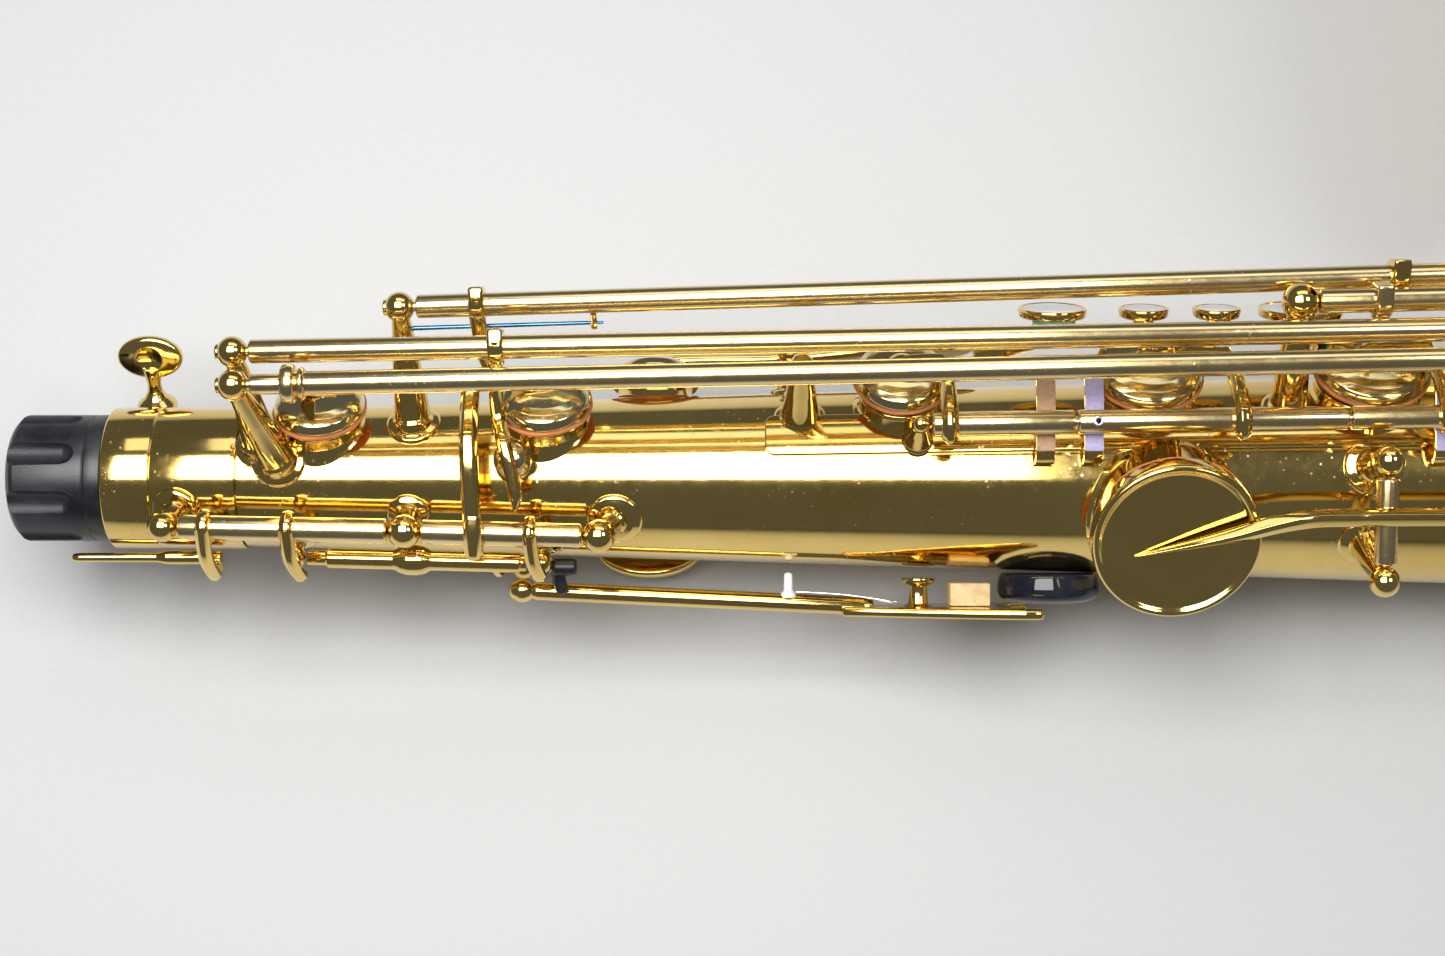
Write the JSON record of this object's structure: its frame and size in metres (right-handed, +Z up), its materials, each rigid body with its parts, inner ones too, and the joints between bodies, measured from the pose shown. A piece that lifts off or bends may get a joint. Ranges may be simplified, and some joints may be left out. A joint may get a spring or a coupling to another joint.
{
  "type": "tenor saxophone body",
  "caption": "Straight-topped conical saxophone body with bow, flared bell, hinged keywork, thumb octave mechanism and a fluted end plug, lying on its left side.",
  "frame": {"origin": "centre of the bounding box, at its bottom", "axes": "+X down the body tube from the neck socket towards the bow, +Z up as the instrument lies on its left side, +Y from the body tube towards the bell"},
  "size_m": [0.779, 0.2566, 0.1561],
  "materials": {
    "lacquer": "clear gold lacquer over brass",
    "key_lacquer": "gold lacquered keywork",
    "leather": "tanned leather pad",
    "blued_steel": "blued spring steel",
    "black_plastic": "satin black moulding",
    "black_gloss": "polished black",
    "cork": "natural cork"
  },
  "bodies": {
    "body": {"bell": "lacquer", "bell_brace": "key_lacquer", "bell_ferrule": "lacquer", "body_ferrule": "lacquer", "body_tube": "lacquer", "bow": "lacquer", "guard_low_b": "lacquer", "guard_low_b_flat": "lacquer", "lyre_holder": "lacquer", "neck_socket": "lacquer", "needle_spring": "blued_steel", "strap_ring": "lacquer", "thumb_hook": "lacquer", "thumb_rest": "black_gloss"},
    "plug": {"end_plug": "black_plastic"},
    "socket_screw_body": {"socket_screw": "key_lacquer"},
    "high_f_sharp": {"high_f_sharp": "key_lacquer", "high_f_sharp_pad": "leather"},
    "high_e": {"high_e": "key_lacquer", "high_e_pad": "leather"},
    "octave_vent": {"octave_vent": "key_lacquer"},
    "key_b": {"key_b": "key_lacquer", "key_b_pad": "leather"},
    "key_a": {"key_a": "key_lacquer", "key_a_pad": "leather"},
    "key_g": {"key_g": "key_lacquer", "key_g_pad": "leather"},
    "key_f_sharp": {"key_f_sharp": "key_lacquer", "key_f_sharp_pad": "leather"},
    "key_f": {"key_f": "key_lacquer", "key_f_pad": "leather"},
    "key_e": {"key_e": "key_lacquer", "key_e_pad": "leather"},
    "key_d": {"key_d": "key_lacquer", "key_d_pad": "leather"},
    "side_b_flat": {"side_b_flat": "key_lacquer", "side_b_flat_pad": "leather"},
    "neck_octave_lever": {"neck_octave_lever": "key_lacquer"},
    "octave_link": {"octave_link": "key_lacquer"},
    "octave_rocker": {"octave_rocker": "key_lacquer"},
    "octave_thumb_key": {"octave_thumb_key": "key_lacquer", "octave_cork": "cork"},
    "palm_d": {"palm_d": "key_lacquer", "palm_d_pad": "leather"},
    "palm_e_flat": {"palm_e_flat": "key_lacquer", "palm_e_flat_pad": "leather"},
    "palm_f": {"palm_f": "key_lacquer", "palm_f_pad": "leather"},
    "g_sharp": {"g_sharp": "key_lacquer"},
    "table_key": {"table_key": "key_lacquer"},
    "low_e_flat": {"low_e_flat": "key_lacquer", "low_e_flat_pad": "leather"},
    "low_c": {"low_c": "key_lacquer", "low_c_pad": "leather"},
    "low_b": {"low_b": "key_lacquer", "low_b_pad": "leather"},
    "low_b_flat": {"low_b_flat": "key_lacquer", "low_b_flat_pad": "leather"},
    "low_c_sharp": {"low_c_sharp": "key_lacquer"}
  },
  "joints": [
    {"name": "plug_slide", "type": "slide", "parent": "body", "child": "plug", "axis": [-1, 0, 0.003], "range_m": [0, 0.03]},
    {"name": "socket_screw_turn", "type": "hinge", "parent": "body", "child": "socket_screw_body", "pos_m": [-0.3629, -0.06685, 0.02549], "axis": [0.0022, 0.6794, 0.7337], "range_deg": [0, 90]},
    {"name": "high_f_sharp_hinge", "type": "hinge", "parent": "body", "child": "high_f_sharp", "pos_m": [-0.32785, -0.07259, 0.07655], "axis": [0.9997, 0.0149, 0.0185], "range_deg": [0, 8], "stiffness_Nm_per_rad": 0.025, "springref_deg": -28.65},
    {"name": "high_e_hinge", "type": "hinge", "parent": "body", "child": "high_e", "pos_m": [-0.28687, -0.05195, 0.06835], "axis": [-0.9995, -0.0226, -0.023], "range_deg": [0, 4], "stiffness_Nm_per_rad": 0.015, "springref_deg": -28.65},
    {"name": "octave_vent_hinge", "type": "hinge", "parent": "body", "child": "octave_vent", "pos_m": [-0.28185, -0.06418, 0.07562], "axis": [-0.9998, -0.0119, -0.0176], "range_deg": [0, 8], "stiffness_Nm_per_rad": 0.015, "springref_deg": -28.65},
    {"name": "key_b_hinge", "type": "hinge", "parent": "body", "child": "key_b", "pos_m": [-0.18837, -0.07788, 0.0666], "axis": [-0.9996, -0.0042, -0.0296], "range_deg": [0, 10], "stiffness_Nm_per_rad": 0.018, "springref_deg": -28.65},
    {"name": "key_a_hinge", "type": "hinge", "parent": "body", "child": "key_a", "pos_m": [-0.12837, -0.07762, 0.06837], "axis": [-0.9996, -0.0042, -0.0296], "range_deg": [0, 10], "stiffness_Nm_per_rad": 0.025, "springref_deg": -28.65},
    {"name": "key_g_hinge", "type": "hinge", "parent": "body", "child": "key_g", "pos_m": [-0.08636, -0.07745, 0.06961], "axis": [-0.9996, -0.0042, -0.0296], "range_deg": [0, 10], "stiffness_Nm_per_rad": 0.03, "springref_deg": -28.65},
    {"name": "key_f_sharp_hinge", "type": "hinge", "parent": "body", "child": "key_f_sharp", "pos_m": [0.00564, -0.07193, 0.07085], "axis": [-0.9996, -0.0079, -0.027], "range_deg": [0, 8], "stiffness_Nm_per_rad": 0.05, "springref_deg": -28.65},
    {"name": "key_f_hinge", "type": "hinge", "parent": "body", "child": "key_f", "pos_m": [0.04964, -0.07158, 0.07203], "axis": [-0.9996, -0.0079, -0.027], "range_deg": [0, 8], "stiffness_Nm_per_rad": 0.05, "springref_deg": -28.65},
    {"name": "key_e_hinge", "type": "hinge", "parent": "body", "child": "key_e", "pos_m": [0.09565, -0.07122, 0.07328], "axis": [-0.9996, -0.0079, -0.027], "range_deg": [0, 8], "stiffness_Nm_per_rad": 0.05, "springref_deg": -28.65},
    {"name": "key_d_hinge", "type": "hinge", "parent": "body", "child": "key_d", "pos_m": [0.14465, -0.07083, 0.0746], "axis": [-0.9996, -0.0079, -0.027], "range_deg": [0, 8], "stiffness_Nm_per_rad": 0.05, "springref_deg": -28.65},
    {"name": "side_b_flat_hinge", "type": "hinge", "parent": "body", "child": "side_b_flat", "pos_m": [-0.09898, -0.09866, 0.06506], "axis": [0.0012, 0.913, 0.4079], "range_deg": [0, 4], "stiffness_Nm_per_rad": 0.1, "springref_deg": -28.65},
    {"name": "neck_octave_lever_hinge", "type": "hinge", "parent": "body", "child": "neck_octave_lever", "pos_m": [-0.34441, -0.09672, 0.05442], "axis": [-0.9998, 0.0192, 0.0007], "range_deg": [0, 7.5]},
    {"name": "octave_link_hinge", "type": "hinge", "parent": "body", "child": "octave_link", "pos_m": [-0.28741, -0.09792, 0.05438], "axis": [0.9997, -0.0262, -0.0009], "range_deg": [0, 5], "stiffness_Nm_per_rad": 0.003, "springref_deg": -28.65},
    {"name": "octave_rocker_hinge", "type": "hinge", "parent": "body", "child": "octave_rocker", "pos_m": [-0.30544, -0.10088, 0.04378], "axis": [-0.9996, 0.0268, -0.0006], "range_deg": [0, 7.5]},
    {"name": "octave_thumb_key_hinge", "type": "hinge", "parent": "body", "child": "octave_thumb_key", "pos_m": [-0.19048, -0.10869, 0.02925], "axis": [0.0028, -0.2957, 0.9553], "range_deg": [0, 2.5], "stiffness_Nm_per_rad": 0.1, "springref_deg": -28.65},
    {"name": "palm_d_hinge", "type": "hinge", "parent": "body", "child": "palm_d", "pos_m": [-0.22046, -0.05464, 0.03669], "axis": [-0.003, -0.0488, -0.9988], "range_deg": [0, 6], "stiffness_Nm_per_rad": 0.06, "springref_deg": -28.65},
    {"name": "palm_e_flat_hinge", "type": "hinge", "parent": "body", "child": "palm_e_flat", "pos_m": [-0.24652, -0.06545, 0.01783], "axis": [-0.0018, -0.7965, -0.6046], "range_deg": [0, 6], "stiffness_Nm_per_rad": 0.06, "springref_deg": -28.65},
    {"name": "palm_f_hinge", "type": "hinge", "parent": "body", "child": "palm_f", "pos_m": [-0.28053, -0.08783, 0.01486], "axis": [0.0009, -0.9573, 0.289], "range_deg": [0, 6], "stiffness_Nm_per_rad": 0.06, "springref_deg": -28.65},
    {"name": "g_sharp_hinge", "type": "hinge", "parent": "body", "child": "g_sharp", "pos_m": [-0.05055, -0.06472, 0.0087], "axis": [-0.9994, -0.0151, 0.03], "range_deg": [0, 8], "stiffness_Nm_per_rad": 0.05, "springref_deg": -28.65},
    {"name": "table_key_hinge", "type": "hinge", "parent": "body", "child": "table_key", "pos_m": [-0.00653, -0.05644, 0.01315], "axis": [0.9995, 0.022, -0.0248], "range_deg": [0, 4], "stiffness_Nm_per_rad": 0.012, "springref_deg": -28.65},
    {"name": "low_e_flat_hinge", "type": "hinge", "parent": "body", "child": "low_e_flat", "pos_m": [0.20865, -0.06624, 0.07501], "axis": [-0.9996, -0.011, -0.026], "range_deg": [0, 6], "stiffness_Nm_per_rad": 0.08, "springref_deg": -28.65},
    {"name": "low_c_hinge", "type": "hinge", "parent": "body", "child": "low_c", "pos_m": [0.33164, -0.1085, 0.07172], "axis": [-1, 0, 0.003], "range_deg": [0, 6], "stiffness_Nm_per_rad": 0.12, "springref_deg": -28.65},
    {"name": "low_b_hinge", "type": "hinge", "parent": "body", "child": "low_b", "pos_m": [0.17672, -0.01004, 0.0996], "axis": [-0.9969, 0.0446, 0.0652], "range_deg": [0, 6], "stiffness_Nm_per_rad": 0.12, "springref_deg": -28.65},
    {"name": "low_b_flat_hinge", "type": "hinge", "parent": "body", "child": "low_b_flat", "pos_m": [0.10174, -0.00668, 0.1045], "axis": [-0.9969, 0.0446, 0.0652], "range_deg": [0, 6], "stiffness_Nm_per_rad": 0.12, "springref_deg": -28.65},
    {"name": "low_c_sharp_hinge", "type": "hinge", "parent": "body", "child": "low_c_sharp", "pos_m": [0.23651, 0.02031, 0.02569], "axis": [-0.9982, 0.0604, 0.0063], "range_deg": [0, 6], "stiffness_Nm_per_rad": 0.12, "springref_deg": -28.65}
  ],
  "couplings": [
    {"joint": "neck_octave_lever_hinge", "follows": "octave_thumb_key_hinge", "ratio": 3},
    {"joint": "octave_rocker_hinge", "follows": "octave_thumb_key_hinge", "ratio": 3}
  ]
}
